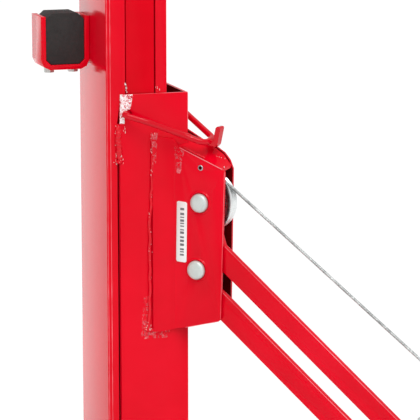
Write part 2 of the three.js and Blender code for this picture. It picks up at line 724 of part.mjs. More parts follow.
function hookShackle() {
  const z = BOOM_Z;
  const y = EXT_HALF + 0.5;
  const t = 5;
  const strap = (side) => union(
    box(SHACKLE_X - 12, SHACKLE_X + 12, side > 0 ? y : -y - t, side > 0 ? y + t : -y, z - 60, z),
    cylY(SHACKLE_X, z, 12, side > 0 ? y : -y - t, side > 0 ? y + t : -y),
  );
  return cut(
    union(strap(1), strap(-1), box(SHACKLE_X - 12, SHACKLE_X + 12, -y - 0.1, y + 0.1, z - 60, z - 52)),
    cylY(SHACKLE_X, z, 6.4, -60, 60, 16),
    cylZ(SHACKLE_X, 0, 7.4, z - 70, z - 40, 16),
  );
}

function shacklePin() {
  const y = EXT_HALF + 0.5 + 5;
  return union(
    cylY(SHACKLE_X, BOOM_Z, 6, -y - 3, y + 6, 16),
    cylY(SHACKLE_X, BOOM_Z, 10, -y - 4, -y - GAP, 16),
    cylY(SHACKLE_X, BOOM_Z, 10, y + GAP, y + 6, 6),
  );
}

const HOOK_TOP = BOOM_Z - 60;
const LATCH_PIVOT = [SHACKLE_X - 14, HOOK_TOP - 24];

function hook() {
  const x = SHACKLE_X;
  const z = HOOK_TOP;
  const path = new THREE.CatmullRomCurve3([
    [x, -6], [x + 2, -22], [x + 14, -38], [x + 19, -54], [x + 11, -70], [x - 4, -75], [x - 18, -67],
    [x - 22, -52],
  ].map(([a, b]) => new THREE.Vector3(a, 0, z + b)));
  const circle = new THREE.Shape();
  circle.absarc(0, 0, 6.5, 0, Math.PI * 2);
  const body = solid(new THREE.ExtrudeGeometry(circle, { steps: 14, curveSegments: 4, extrudePath: path }));
  return union(
    body,
    cylZ(x, 0, 7, z - 12, z + 20),
    cylZ(x, 0, 11, z - 16, z - GAP),
    cylZ(x, 0, 11.5, z + 8 + GAP, z + 19, 6),
    box(LATCH_PIVOT[0] - 4, x, -2, 2, LATCH_PIVOT[1] - 4, z - 14),
    cylY(...LATCH_PIVOT, 2, -7.5, 7.5, 12),
  );
}

function hookLatch() {
  const [x, z] = LATCH_PIVOT;
  const side = (y0, y1) => extrudeY([
    [x - 4, z + 3], [x - 2, z - 10], [x - 1, z - 26], [x + 4, z - 24], [x + 5, z - 4], [x + 4, z + 4],
  ], y0, y1);
  const web = box(x + 1.5, x + 3.4, -5, 5, z - 23, z - 9);
  const bore = cylY(x, z, 2.3, -20, 20, 12);
  return cut(union(side(3.4, 6), side(-6, -3.4), web), bore);
}

// ---------------------------------------------------------------- wheeled base
const CROSS_X = [165, 215];
const CASTER_REAR_Y = 215;
const CASTER_REAR_X = 190;
const CASTER_FRONT_X = LEG_TIP_X + 34;

function baseFrame() {
  const [z0, z1] = BEAM_Z;
  const earPlate = (y, low) => union(
    box(LEG_PIVOT[0], CROSS_X[0] + 30, y - 26, y + 26, low, low + EAR_T),
    cylZ(LEG_PIVOT[0], y, 26, low, low + EAR_T),
  );
  const bracket = (y) => union(earPlate(y, LEG_Z[0] - 0.6 - EAR_T), earPlate(y, LEG_Z[1] + 0.6));
  const body = union(
    box(...CROSS_X, -LEG_Y - 40, LEG_Y + 40, z0, z1),
    box(-95, 166, -38, 38, z0, z1),
    box(-300, -90, -20, 20, z0 + 8, z1 - 2),
    bracket(LEG_Y), bracket(-LEG_Y),
  );
  return cut(body, ...[-1, 1].map((s) => cylZ(LEG_PIVOT[0], s * LEG_Y, 8.3, 80, 170)),
    ...FOOT_BOLTS.map(([x, y]) => cylZ(x, y, 5.3, z1 - 20, z1 + 1, 12)),
    ...[-1, 1].map((s) => cylZ(CASTER_REAR_X, s * CASTER_REAR_Y, 6.3, z0 - 1, z0 + 22)));
}

const FOOT_BOLTS = [[-80, -28], [-80, 28], [92, -28], [92, 28]];

// Foot plate with its four bolts and the two gussets that brace the mast's corners.
function mastFoot() {
  const top = 160;
  const plate = box(-92, 124, -70, 70, BEAM_Z[1] + GAP, top);
  const bolts = FOOT_BOLTS.map(([x, y]) => union(
    cylZ(x, y, 5, BEAM_Z[1] - 16, top + 6, 12), cylZ(x, y, 8.5, top - 1, top + 7, 6),
  ));
  return union(plate, ...bolts, ...mastGussets(top));
}

function mastGussets(top) {
  const rear = mast(COVER_W, -COVER_T)[0] + 3;
  const [fx, fy] = mast(-GAP, POST_D / 2);
  const outline = (x, dir) => [[x, top - 1], [x + dir * 58, top - 1], [x + dir * 58, top + 8],
    [x + dir * 6, top + 100], [x, top + 100]];
  const front = extrudeY(outline(0, 1), -3, 3).rotate([0, 0, -135]).translate([fx, fy, 0]);
  return [extrudeY(outline(rear, 1), -3, 3), front];
}

function leg(side) {
  const y = side * LEG_Y;
  const [px] = LEG_PIVOT;
  const h = LEG_W / 2;
  const beam = union(box(LEG_TIP_X, px, y - h, y + h, ...LEG_Z), cylZ(px, y, h, ...LEG_Z, 36));
  return cut(beam, cylZ(px, y, 8.3, 90, 160), cylZ(CASTER_FRONT_X, y, 6.3, LEG_Z[0] - 1, LEG_Z[0] + 22));
}

// Upright hinge bolt of a leg.
function legPivot(side) {
  const y = side * LEG_Y;
  const x = LEG_PIVOT[0];
  const low = LEG_Z[0] - 0.6 - EAR_T;
  const high = LEG_Z[1] + 0.6 + EAR_T;
  return union(
    cylZ(x, y, 8, low - 8, high + 4, 16),
    cylZ(x, y, 13, low - 9, low - GAP, 6),
    cylZ(x, y, 13, high + GAP, high + 9, 6),
  );
}

function casterFork(x, y, seat) {
  const top = seat - GAP;
  const ax = x + CASTER_TRAIL;
  const cheek = (y0, y1) => extrudeY([
    [x - 22, top - 4], [x - 20, top - 14], [ax - 11, WHEEL_R - 8], [ax, WHEEL_R - 12], [ax + 11, WHEEL_R - 6],
    [x + 30, top - 14], [x + 28, top - 4],
  ], y0, y1);
  return union(
    box(x - 24, x + 30, y - 19, y + 19, top - 6, top - 2.5),
    cylZ(x, y, 15, top - 4, top),
    cylZ(x, y, 6, top - 5, top + 18),
    cheek(y - 19, y - 15.5), cheek(y + 15.5, y + 19),
    cylY(ax, WHEEL_R, 5.7, y - 22, y + 22, 12),
    cylY(ax, WHEEL_R, 9, y - 23, y - 18, 6), cylY(ax, WHEEL_R, 9, y + 18, y + 23, 6),
  );
}

function casterWheel(x, y) {
  const w = WHEEL_W / 2;
  return lathe([
    [6, y - w - 1.5], [11, y - w - 1.5], [12, y - w + 3], [27, y - w + 3], [28, y - w], [37, y - w],
    [WHEEL_R, y - w + 4], [WHEEL_R, y + w - 4], [37, y + w], [28, y + w],
    [27, y + w - 3], [12, y + w - 3], [11, y + w + 1.5], [6, y + w + 1.5],
  ], x + CASTER_TRAIL, WHEEL_R, 22);
}

// ---------------------------------------------------------------- assembly
add('post', post(), 'red');
add('cable_cover', cover(), 'red');
add('inner_mast', innerMast(), 'red');
add('slide_bush', slideBush(), 'black');
add('housing_near', housingPlate(NEAR_EDGE, -1), 'red');
add('housing_far', housingPlate(FAR_EDGE, 1), 'red');
add('housing_top', housingTop(), 'red');
add('sheave', sheave(), 'zinc');
add('sheave_bush', sheaveBush(), 'steel');
add('upper_pin', pin(UPPER_PIN), 'zinc');
add('lower_pin', pin(LOWER_PIN), 'zinc');
add('upper_clip', pinClip(UPPER_PIN), 'steel');
add('lower_clip', pinClip(LOWER_PIN), 'steel');
add('latch_bail', bail(), 'red');
add('label_plate', label(), 'white');
add('upper_arm', upperArm(), 'red');
add('lower_arm', lowerArm(), 'red');
add('winch_cheek_near', cheekNear(), 'zinc');
add('winch_cheek_far', cheekFar(), 'zinc');
add('winch_tie_front', tieBolt(TIES[0]), 'zinc');
add('winch_tie_lower', tieBolt(TIES[1]), 'zinc');
add('drum', drum(), 'zinc');
add('drum_gear', drumGear(), 'steel');
add('drum_shaft', drumShaft(), 'steel');
add('pinion_shaft', pinion(), 'steel');
add('crank_arm', crank(), 'black');
add('crank_nut', crankNut(), 'zinc');
add('crank_grip', grip(), 'black');
add('pawl', pawl(), 'steel');
add('pawl_pin', pawlPin(), 'zinc');
add('rope_lift', ropeWrap(), 'rope');
add('rope_run', ropeRun(), 'rope');
add('rope_coil', ropeCoil(), 'rope');
add('rope_ferrule', ropeFerrule(), 'zinc');
add('rest_bracket', toMast(restLocal('bracket')), 'red');
add('rest_buffer', toMast(restLocal('buffer')), 'black');
add('boom_saddle', boomSaddle(), 'red');
add('boom', boom(), 'red');
add('boom_extension', boomExtension(), 'zinc');
add('extension_clamp', extensionClamp(), 'zinc');
add('hook_shackle', hookShackle(), 'zinc');
add('shackle_pin', shacklePin(), 'steel');
add('hook', hook(), 'steel');
add('hook_latch', hookLatch(), 'zinc');
add('base_frame', baseFrame(), 'red');
add('mast_foot', mastFoot(), 'red');
for (const [end, x] of [['front', CASTER_FRONT_X], ['rear', CASTER_REAR_X]]) {
  for (const side of [-1, 1]) {
    const y = side * (end === 'front' ? LEG_Y : CASTER_REAR_Y);
    const tag = `${end}_${side < 0 ? 'near' : 'far'}`;
    add(`fork_${tag}`, casterFork(x, y, end === 'front' ? LEG_Z[0] : BEAM_Z[0]), 'zinc');
    add(`wheel_${tag}`, casterWheel(x, y), 'black');
  }
}
add('leg_near', leg(-1), 'red');
add('leg_far', leg(1), 'red');
add('leg_pivot_near', legPivot(-1), 'zinc');
add('leg_pivot_far', legPivot(1), 'zinc');

export default root;
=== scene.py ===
"""Looks of the rolling winch hoist crane: red powder-coated sheet metal, zinc-plated pins and wire rope."""
import math
import random

import bmesh
import bpy
from mathutils import Matrix, Vector, noise
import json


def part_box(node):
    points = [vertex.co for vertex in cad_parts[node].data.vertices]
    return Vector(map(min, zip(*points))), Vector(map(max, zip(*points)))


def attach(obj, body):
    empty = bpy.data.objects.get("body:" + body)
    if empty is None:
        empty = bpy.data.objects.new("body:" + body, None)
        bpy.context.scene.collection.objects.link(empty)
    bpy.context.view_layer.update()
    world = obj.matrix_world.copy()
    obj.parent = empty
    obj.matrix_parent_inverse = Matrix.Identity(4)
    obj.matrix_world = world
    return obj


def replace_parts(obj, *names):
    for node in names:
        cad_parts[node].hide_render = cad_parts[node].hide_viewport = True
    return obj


MM = 0.001
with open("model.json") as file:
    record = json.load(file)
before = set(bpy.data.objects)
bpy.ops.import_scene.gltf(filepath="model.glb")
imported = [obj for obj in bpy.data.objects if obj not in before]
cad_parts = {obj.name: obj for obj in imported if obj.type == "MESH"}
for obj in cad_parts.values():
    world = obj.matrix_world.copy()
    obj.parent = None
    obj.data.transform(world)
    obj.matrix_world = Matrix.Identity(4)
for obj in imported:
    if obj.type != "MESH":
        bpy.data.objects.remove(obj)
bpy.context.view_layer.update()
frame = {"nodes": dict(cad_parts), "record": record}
record = frame["record"]
node_slot = {s["node"]: s["material_slot"] for s in record["subparts"]}
node_body = {n: b for b, names in record["behaviour"]["bodies"].items() for n in names}

# The mast frame of the drawing: the upper pin's axis is at x = 79.3 mm, and z is the height.
PIN_X = 79.3
pin_low, pin_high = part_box("upper_pin")
SHIFT = (pin_low.x + pin_high.x) / 2 - PIN_X * MM


def at(x, y, z):
    """Drawing millimetres to row metres."""
    return Vector((x * MM + SHIFT, y * MM, z * MM))


S45 = math.sqrt(0.5)
COVER_W = 84.0  # mast width along its near wall, cover included
SKIN = 3.3  # cover sheet and its gap to the post
CORNER_X = 59.1  # rear corner of the mast from the mast's middle
COVER_LEFT = 13.2
NOTCH_FOOT, NOTCH_HEIGHT, NOTCH_LEAN = 1186.0, 31.0, 3.2  # lean-in of the cover's left edge at its top
POST_BOTTOM, POST_TOP = 163.0, 1398.0
PLATE_FACE = -13.0  # y of the near housing plate's outer face
PLATE_INNER = 11.5 * MM  # between the inner and the outer face of either housing plate
OIL_HOLE = (80.1, 1143.5)
ROD_R = 3.2


def mast(u, v, z):
    """Mast plan coordinates, u along the near wall and v into the depth."""
    d = v + SKIN
    return at(CORNER_X + (u - COVER_W - d) * S45, (u - COVER_W + d) * S45, z)


# ------------------------------------------------------------------ materials
def new_material(name):
    """Empty node material, with its tree and its shader."""
    mat = bpy.data.materials.new(name)
    mat.use_nodes = True
    return mat, mat.node_tree, mat.node_tree.nodes["Principled BSDF"]


def link(tree, a, b):
    tree.links.new(a, b)


def noise_tex(tree, scale, detail=4.0, rough=0.55, distortion=0.0):
    """Noise field in the piece's own metres."""
    tex = tree.nodes.new("ShaderNodeTexNoise")
    tex.inputs["Scale"].default_value = scale
    tex.inputs["Detail"].default_value = detail
    tex.inputs["Roughness"].default_value = rough
    tex.inputs["Distortion"].default_value = distortion
    coords = tree.nodes.new("ShaderNodeTexCoord")
    link(tree, coords.outputs["Object"], tex.inputs["Vector"])
    return tex.outputs["Fac"]


def ramp(tree, source, stops):
    """Colour or value at each stop of a field."""
    node = tree.nodes.new("ShaderNodeValToRGB")
    els = node.color_ramp.elements
    while len(els) < len(stops):
        els.new(0.5)
    for el, (pos, col) in zip(els, stops):
        el.position = pos
        el.color = (*col, 1.0) if len(col) == 3 else col
    link(tree, source, node.inputs["Fac"])
    return node.outputs["Color"]


def bumped(tree, bsdf, source, strength, distance, chain=None):
    """Surface relief from a field, on top of an earlier relief when chain is given."""
    node = tree.nodes.new("ShaderNodeBump")
    node.inputs["Strength"].default_value = strength
    node.inputs["Distance"].default_value = distance
    link(tree, source, node.inputs["Height"])
    if chain is not None:
        link(tree, chain, node.inputs["Normal"])
    link(tree, node.outputs["Normal"], bsdf.inputs["Normal"])
    return node.outputs["Normal"]


def grey(v):
    return (v, v, v)


def paint(name, low, mid, high, rough, coat=0.5, coat_ior=1.22, coat_rough=0.15):
    """Powder coat: slow colour drift, fine orange peel, dusty patches in the gloss."""
    mat, tree, bsdf = new_material(name)
    slow = noise_tex(tree, 9.0, 3.0, 0.6)
    link(tree, ramp(tree, slow, [(0.3, low), (0.5, mid), (0.72, high)]), bsdf.inputs["Base Color"])
    patchy = noise_tex(tree, 55.0, 5.0, 0.65)
    gloss = [(0.3, grey(rough - 0.05)), (0.7, grey(rough + 0.09))]
    link(tree, ramp(tree, patchy, gloss), bsdf.inputs["Roughness"])
    peel = noise_tex(tree, 700.0, 2.0, 0.5)
    first = bumped(tree, bsdf, peel, 0.10, 0.0004)
    wave = noise_tex(tree, 42.0, 2.0, 0.5)
    bumped(tree, bsdf, wave, 0.10, 0.0012, first)
    bsdf.inputs["Coat Weight"].default_value = coat
    bsdf.inputs["Coat IOR"].default_value = coat_ior
    bsdf.inputs["Coat Roughness"].default_value = coat_rough
    bsdf.inputs["Specular IOR Level"].default_value = 0.0
    return mat


def metal(name, low, high, rough, scratch=0.12, scale=240.0, metallic=1.0):
    """Plated or bare metal: blotchy crystals, small scratches and uneven gloss."""
    mat, tree, bsdf = new_material(name)
    blot = noise_tex(tree, 60.0, 5.0, 0.7, 0.6)
    link(tree, ramp(tree, blot, [(0.32, low), (0.68, high)]), bsdf.inputs["Base Color"])
    fine = noise_tex(tree, scale, 3.0, 0.6)
    gloss = [(0.3, grey(rough - 0.08)), (0.75, grey(rough + 0.12))]
    link(tree, ramp(tree, fine, gloss), bsdf.inputs["Roughness"])
    bumped(tree, bsdf, fine, scratch, 0.0004)
    bsdf.inputs["Metallic"].default_value = metallic
    return mat


def plain(name, low, high, rough, peel=180.0, strength=0.25, distance=0.0006):
    """Moulded plastic, rubber or printed film."""
    mat, tree, bsdf = new_material(name)
    slow = noise_tex(tree, 26.0, 4.0, 0.6)
    link(tree, ramp(tree, slow, [(0.3, low), (0.7, high)]), bsdf.inputs["Base Color"])
    fine = noise_tex(tree, peel, 3.0, 0.6)
    gloss = [(0.3, grey(rough - 0.06)), (0.7, grey(rough + 0.08))]
    link(tree, ramp(tree, fine, gloss), bsdf.inputs["Roughness"])
    bumped(tree, bsdf, fine, strength, distance)
    return mat


RED = paint("red_powder_coat", (0.66, 0.0002, 0.0105), (0.72, 0.0004, 0.0130), (0.77, 0.0010, 0.0165),
            0.36, 1.0)
# darker copy of the red: painted shade for the inner mast, which stands back inside the post
RED_SHADE = paint("red_painted_shade", (0.60, 0.0002, 0.007), (0.65, 0.0003, 0.009), (0.70, 0.0008, 0.012),
                  0.42, 0.6)
# near-black red: painted shade for faces inside the housing and the duct
RED_INNER_SHADE = paint("red_painted_inner_shade", (0.055, 0.0008, 0.0012), (0.085, 0.0012, 0.002), (0.13, 0.002, 0.003),
                   0.5, 0.3)
RED_GLOSS = paint("red_gloss_rod", (0.52, 0.0002, 0.009), (0.60, 0.0003, 0.011), (0.66, 0.0010, 0.014),
                  0.32, 1.0, 1.34, 0.08)
# pale pinkish red: painted highlight for the bright lines along sheet edges
RED_EDGE_HIGHLIGHT = paint("red_painted_edge_highlight", (0.72, 0.07, 0.09), (0.86, 0.17, 0.20), (0.92, 0.30, 0.33), 0.30, 1.0)
# near-black: painted shade for the gaps along the cover's edge and the oil hole's bore
GAP_SHADE = plain("gap_painted_shade", (0.030, 0.0008, 0.001), (0.07, 0.0015, 0.002), 0.8)
GAP_SHADE.node_tree.nodes["Principled BSDF"].inputs["Specular IOR Level"].default_value = 0.0
RED_WELD = paint("red_weld_coat", (0.58, 0.0003, 0.009), (0.70, 0.0006, 0.012), (0.80, 0.003, 0.018),
                 0.27, 1.0, 1.40, 0.10)
ZINC = metal("zinc_plate", (0.54, 0.60, 0.575), (0.68, 0.73, 0.70), 0.52, metallic=0.55)
BRIGHT = metal("bright_zinc", (0.70, 0.73, 0.73), (0.86, 0.88, 0.88), 0.30)
STEEL = metal("bare_steel", (0.40, 0.41, 0.43), (0.60, 0.61, 0.63), 0.40)
ROPE = metal("rope_wire", (0.30, 0.31, 0.31), (0.78, 0.80, 0.79), 0.36, 0.2, 700.0)
# near-white spatter beads: painted glints along the welds
SPATTER_GLINT = metal("spatter_painted_glint", (0.80, 0.70, 0.70), (0.97, 0.95, 0.94), 0.40, 0.6, 1400.0, 0.2)


def speckled():
    """Ground weld: bare metal showing through torn red coat; its near-white speckle is a painted glint."""
    mat, tree, bsdf = new_material("ground_weld_painted_glint")
    field = noise_tex(tree, 430.0, 3.0, 0.58, 1.6)
    stops = [
        (0.43, (0.60, 0.01, 0.03)), (0.465, (0.88, 0.40, 0.45)), (0.49, (0.98, 0.94, 0.94)),
        (0.62, (1.0, 0.99, 0.98)),
    ]
    link(tree, ramp(tree, field, stops), bsdf.inputs["Base Color"])
    link(tree, ramp(tree, field, [(0.4, grey(0.3)), (0.6, grey(0.55))]), bsdf.inputs["Roughness"])
    bumped(tree, bsdf, field, 0.7, 0.0008)
    return mat


# bare weld patch, its near-white speckle a painted glint
GROUND_WELD_GLINT = speckled()
BLACK = plain("black_plastic", (0.010, 0.010, 0.011), (0.022, 0.022, 0.024), 0.45)
RUBBER = plain("black_rubber", (0.008, 0.008, 0.008), (0.025, 0.024, 0.023), 0.72, 260.0, 0.5, 0.0008)
GREASE = plain("rope_grease", (0.02, 0.02, 0.018), (0.06, 0.058, 0.05), 0.5)
TYRE = plain("tyre_rubber", (0.012, 0.012, 0.013), (0.035, 0.034, 0.033), 0.62, 320.0, 0.5, 0.0009)
STICKER = plain("sticker_film", (0.78, 0.78, 0.76), (0.84, 0.84, 0.82), 0.40, 60.0, 0.08, 0.0003)
PRINT = plain("sticker_print", (0.10, 0.10, 0.11), (0.16, 0.16, 0.17), 0.50, 60.0, 0.05, 0.0002)

SLOT_MATERIAL = {
    "red_paint": RED, "zinc": ZINC, "steel": STEEL, "black_plastic": BLACK, "rubber": RUBBER,
    "tyre": TYRE, "sticker": STICKER, "wire_rope": ROPE,
}


# ------------------------------------------------------------------ mesh helpers
def finish_object(name, bm, mat, body, angle=35.0, bevel=0.0, segments=2):
    """Named piece on its body, with rolled edges or with sharp ones past the angle."""
    mesh = bpy.data.meshes.new(name)
    bm.to_mesh(mesh)
    bm.free()
    mesh.materials.append(mat)
    obj = bpy.data.objects.new(name, mesh)
    bpy.context.scene.collection.objects.link(obj)
    for poly in mesh.polygons:
        poly.use_smooth = True
    if bevel:
        mod = obj.modifiers.new("edge", "BEVEL")
        mod.width = bevel
        mod.segments = segments
        mod.limit_method = "ANGLE"
        mod.angle_limit = math.radians(angle)
        mod.use_clamp_overlap = True
        mod.harden_normals = True
    else:
        mesh.set_sharp_from_angle(angle=math.radians(angle))
    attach(obj, body)
    return obj


def skin(node, mat=None, bevel=1.0, segments=2, angle=33.0):
    """A copy of the CAD node's solid with rolled edges, which stands for it."""
    source = frame["nodes"][node].data
    bm = bmesh.new()
    bm.from_mesh(source)
    bmesh.ops.remove_doubles(bm, verts=bm.verts, dist=2e-6)
    bmesh.ops.dissolve_limit(bm, angle_limit=math.radians(0.6), verts=bm.verts, edges=bm.edges)
    bmesh.ops.recalc_face_normals(bm, faces=bm.faces)
    slot = node_slot[node]
    obj = finish_object(f"{node}_skin", bm, mat or SLOT_MATERIAL[slot], node_body[node], angle,
                        bevel * MM, segments)
    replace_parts(obj, node)
    return obj


def lathe_y(name, profile, x, z, mat, body, slot, sides=72, angle=40.0, ripple=None):
    """Profile of (radius, y) in millimetres, closed, turned about an axis along Y."""
    bm = bmesh.new()
    rings = []
    for r, y in profile:
        if r < 1e-6:
            rings.append([bm.verts.new(at(x, y, z))])
            continue
        ring = []
        for k in range(sides):
            a = 2 * math.pi * k / sides
            rr = r + (ripple(a, r, y) if ripple else 0.0)
            ring.append(bm.verts.new(at(x + rr * math.cos(a), y, z + rr * math.sin(a))))
        rings.append(ring)
    count = len(rings)
    for i in range(count):
        a, b = rings[i], rings[(i + 1) % count]
        if len(a) == 1 and len(b) == 1:
            continue
        for k in range(sides):
            n = (k + 1) % sides
            if len(a) == 1:
                bm.faces.new((a[0], b[n], b[k]))
            elif len(b) == 1:
                bm.faces.new((a[k], a[n], b[0]))
            else:
                bm.faces.new((a[k], a[n], b[n], b[k]))
    bmesh.ops.recalc_face_normals(bm, faces=bm.faces)
    return finish_object(name, bm, mat, body, angle)


def frames_along(points):
    """Tangent, side and up at each point, carried along without twist."""
    out = []
    up = Vector((0, 0, 1))
    for i, p in enumerate(points):
        t = (points[min(i + 1, len(points) - 1)] - points[max(i - 1, 0)]).normalized()
        if abs(t.dot(up)) > 0.98:
            up = Vector((0, 1, 0))
        side = t.cross(up).normalized()
        up = side.cross(t).normalized()
        out.append((t, side, up))
    return out


def ring_of(bm, centre, side, up, r, sides):
    """Circle of vertices about centre."""
    ring = []
    for k in range(sides):
        turn = 2 * math.pi * k / sides
        ring.append(bm.verts.new(centre + side * (r * math.cos(turn)) + up * (r * math.sin(turn))))
    return ring


def close_rings(bm, rings):
    """Walls between neighbouring rings, and a cap at either end."""
    for a, b in zip(rings, rings[1:]):
        for k in range(len(a)):
            n = (k + 1) % len(a)
            bm.faces.new((a[k], a[n], b[n], b[k]))
    bm.faces.new(rings[0][::-1])
    bm.faces.new(rings[-1])


def tube(bm, points, radius, sides=12):
    """Adds a round bar through points; radius is a number or one per point."""
    radii = radius if isinstance(radius, list) else [radius] * len(points)
    close_rings(bm, [
        ring_of(bm, p, side, up, r, sides)
        for p, r, (_, side, up) in zip(points, radii, frames_along(points))
    ])


def rounded_path(points, radius, steps=6):
    """Straight pieces joined by round bends of that radius share."""
    out = [points[0]]
    for i in range(1, len(points) - 1):
        a = points[i] + (points[i - 1] - points[i]).normalized() * radius
        b = points[i] + (points[i + 1] - points[i]).normalized() * radius
        for s in range(steps + 1):
            t = s / steps
            out.append(a * (1 - t) ** 2 + points[i] * 2 * t * (1 - t) + b * t * t)
    out.append(points[-1])
    return out


def resample(points, step):
    """Points at even distances of about step along a line."""
    total = [0.0]
    for a, b in zip(points, points[1:]):
        total.append(total[-1] + (b - a).length)
    count = max(2, int(total[-1] / step) + 1)
    out = []
    j = 0
    for i in range(count):
        s = total[-1] * i / (count - 1)
        while j < len(total) - 2 and total[j + 1] < s:
            j += 1
        span = total[j + 1] - total[j]
        out.append(points[j].lerp(points[j + 1], (s - total[j]) / span if span else 0.0))
    return out


# ------------------------------------------------------------------ wire rope
def wire_rope(name, points, body, node, strands=6, lay=14.0, radius=1.55):
    """Twisted strands round a core, along points."""
    path = resample(points, 1.3 * MM)
    frames = frames_along(path)
    strand_r = radius * 0.30 * MM
    offset = radius * MM - strand_r
    bm = bmesh.new()
    tube(bm, path, radius * 0.62 * MM, 8)
    core_faces = len(bm.faces)
    for s in range(strands):
        line = []
        length = 0.0
        for i, p in enumerate(path):
            if i:
                length += (p - path[i - 1]).length
            a = 2 * math.pi * (length / (lay * MM) + s / strands)
            _, side, up = frames[i]
            line.append(p + side * (offset * math.cos(a)) + up * (offset * math.sin(a)))
        tube(bm, line, strand_r, 6)
    obj = finish_object(name, bm, ROPE, body, 60.0)
    obj.data.materials.append(GREASE)
    for poly in obj.data.polygons[:core_faces]:
        poly.material_index = 1
    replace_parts(obj, node)
    return obj


# ------------------------------------------------------------------ weld beads
BEAD_STEP = 0.55


def weld(name, points, radius, seed=1, ripple=2.6, wobble=0.35):
    """A bead laid in overlapping ripples along points."""
    path = resample(points, BEAD_STEP * MM)
    bm = bmesh.new()
    rings = []
    phase = 0.0
    for i, (p, (_, side, up)) in enumerate(zip(path, frames_along(path))):
        phase += BEAD_STEP / ripple * (1 + 0.3 * noise.noise(p * 300))
        crest = math.sqrt(max(0.0, math.sin(math.pi * (phase % 1.0))))
        swell = 0.82 + 0.26 * crest + 0.3 * wobble * noise.noise(p * 160 + Vector((seed, 0, 0)))
        ends = min(1.0, (i + 0.6) / 5.0, (len(path) - i - 0.4) / 5.0)
        r = radius * MM * swell * math.sqrt(max(0.05, ends))
        shift = side * (radius * MM * wobble * noise.noise(p * 90 + Vector((0, seed, 0))))
        rings.append(ring_of(bm, p + shift, side, up, r, 12))
    close_rings(bm, rings)
    return finish_object(name, bm, RED_WELD, "mast", 70.0)


# ------------------------------------------------------------------ bodies of sheet metal
skin("post", RED, 3.4, 4)
skin("cable_cover", RED, 1.3, 3)
# inner mast in the darker red, as painted shade
skin("inner_mast", RED_SHADE, 1.0, 2)
for node_name in ("housing_near", "housing_far"):
    skin(node_name, RED, 0.9, 2)
for node_name in ("upper_arm", "lower_arm"):
    skin(node_name, RED, 0.8, 2)
skin("rest_bracket", RED, 0.8, 2)
for node_name in ("boom", "boom_saddle", "base_frame", "mast_foot", "leg_near", "leg_far"):
    skin(node_name, RED, 1.4, 2)
skin("boom_extension", ZINC, 1.5, 2)
for node_name in ("slide_bush", "rest_buffer"):
    skin(node_name, None, 1.0, 2)
for node_name in (
    "sheave_bush", "upper_clip", "lower_clip", "winch_cheek_near", "winch_cheek_far", "winch_tie_front",
    "winch_tie_lower", "drum", "drum_gear", "drum_shaft", "pinion_shaft", "crank_arm", "crank_nut", "pawl",
    "pawl_pin", "rope_ferrule", "extension_clamp", "hook_shackle", "shackle_pin", "hook_latch",
    "fork_front_near", "fork_front_far", "fork_rear_near", "fork_rear_far", "leg_pivot_near", "leg_pivot_far",
):
    skin(node_name, None, 0.4, 2)
skin("label_plate", STICKER, 0.12, 1)

# ------------------------------------------------------------------ sheave and pins
SHEAVE_Y = 3.0
UPPER = (PIN_X, 1107.7)
LOWER = (75.7, 1038.8)


def sheave_profile():
    """Grooved rim, dished web and hub."""
    y = SHEAVE_Y
    groove = [(31.3, y - 4.2), (30.6, y - 3.6), (29.2, y - 2.3), (28.0, y - 1.2), (27.5, y), (28.0, y + 1.2),
              (29.2, y + 2.3), (30.6, y + 3.6), (31.3, y + 4.2)]
    return [
        (9.0, y - 5.8), (13.4, y - 5.8), (14.0, y - 5.3), (15.0, y - 3.7), (22.6, y - 3.5), (24.2, y - 4.6),
        (25.4, y - 5.4), (30.6, y - 5.5), (31.4, y - 5.0), *groove, (31.4, y + 5.0), (30.6, y + 5.5),
        (25.4, y + 5.4), (24.2, y + 4.6), (22.6, y + 3.5), (15.0, y + 3.7), (14.0, y + 5.3), (13.4, y + 5.8),
        (9.0, y + 5.8),
    ]


sheave = lathe_y("sheave_wheel", sheave_profile(), *UPPER, BRIGHT, "sheave", "zinc", 96, 34)
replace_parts(sheave, "sheave")



def pin(tag, px, pz):
    """Headed pin with a clip groove, and the painted seat pressed in the plate round its head."""
    face = PLATE_FACE - 0.3
    profile = [
        (0.0, face - 5.0), (3.5, face - 4.9), (6.6, face - 4.6), (8.2, face - 4.0), (9.2, face - 2.9),
        (9.55, face - 1.6), (9.55, face - 0.3), (9.3, face), (5.7, face), (5.7, 14.6), (4.8, 15.0),
        (4.8, 16.2), (5.7, 16.6), (5.7, 19.2), (4.9, 19.9), (0.0, 19.9),
    ]

    def dented(angle, radius, _):
        spot = Vector((math.cos(angle) * 1.4, math.sin(angle) * 1.4, pz))
        return 0.16 * noise.noise(spot) * (radius / 9)

    piece = lathe_y(f"{tag}_pin_turned", profile, px, pz, ZINC, "mast", "zinc", 64, 40, dented)
    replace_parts(piece, f"{tag}_pin")
    seat = [(9.9, -13.02), (10.4, -13.9), (11.4, -14.0), (12.4, -13.02)]
    lathe_y(f"{tag}_pin_seat", seat, px, pz, RED, "mast", "red_paint", 64, 50)


pin("upper", *UPPER)
pin("lower", *LOWER)

# ------------------------------------------------------------------ rope
ROPE_PITCH_R = 29.3
DROP = math.radians(36.8)
ROPE_DIR = Vector((math.cos(DROP), 0, -math.sin(DROP)))
ROPE_OUT = Vector((math.sin(DROP), 0, math.cos(DROP)))
RUN = 360.0
WRAP_STEPS = 40


def rope_run():
    """Taut run from the sheave to the drum."""
    tangent = at(UPPER[0] + ROPE_OUT.x * ROPE_PITCH_R, SHEAVE_Y, UPPER[1] + ROPE_OUT.z * ROPE_PITCH_R)
    run_end = tangent + ROPE_DIR * ((RUN - 1) * MM)
    wire_rope("rope_run_strands", [tangent + ROPE_DIR * 0.4 * MM, run_end], "mast", "rope_run")


